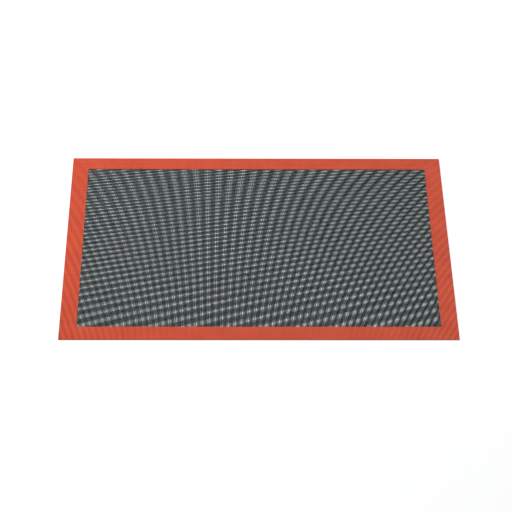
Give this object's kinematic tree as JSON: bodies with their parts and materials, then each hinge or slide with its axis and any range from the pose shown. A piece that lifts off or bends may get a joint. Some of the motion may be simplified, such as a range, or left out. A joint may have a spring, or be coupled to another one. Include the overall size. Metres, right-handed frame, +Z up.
{
  "type": "baking mat",
  "caption": "Thin flat baking mat: an open mesh of silicone-coated yarns inside a wide flat silicone border.",
  "frame": {"origin": "centre of the mat's footprint, on the plane that it lies on", "axes": "+X along the mat's long side, +Y across it, away from whoever uses it, +Z up through its thickness"},
  "size_m": [0.583, 0.384, 0.001],
  "materials": {
    "border_silicone": "satin",
    "mesh_silicone": "satin"
  },
  "bodies": {
    "root": {"border_back": "border_silicone", "weft_yarns": "mesh_silicone", "warp_yarns": "mesh_silicone", "edge_seal": "border_silicone", "border_face": "border_silicone"}
  },
  "joints": []
}
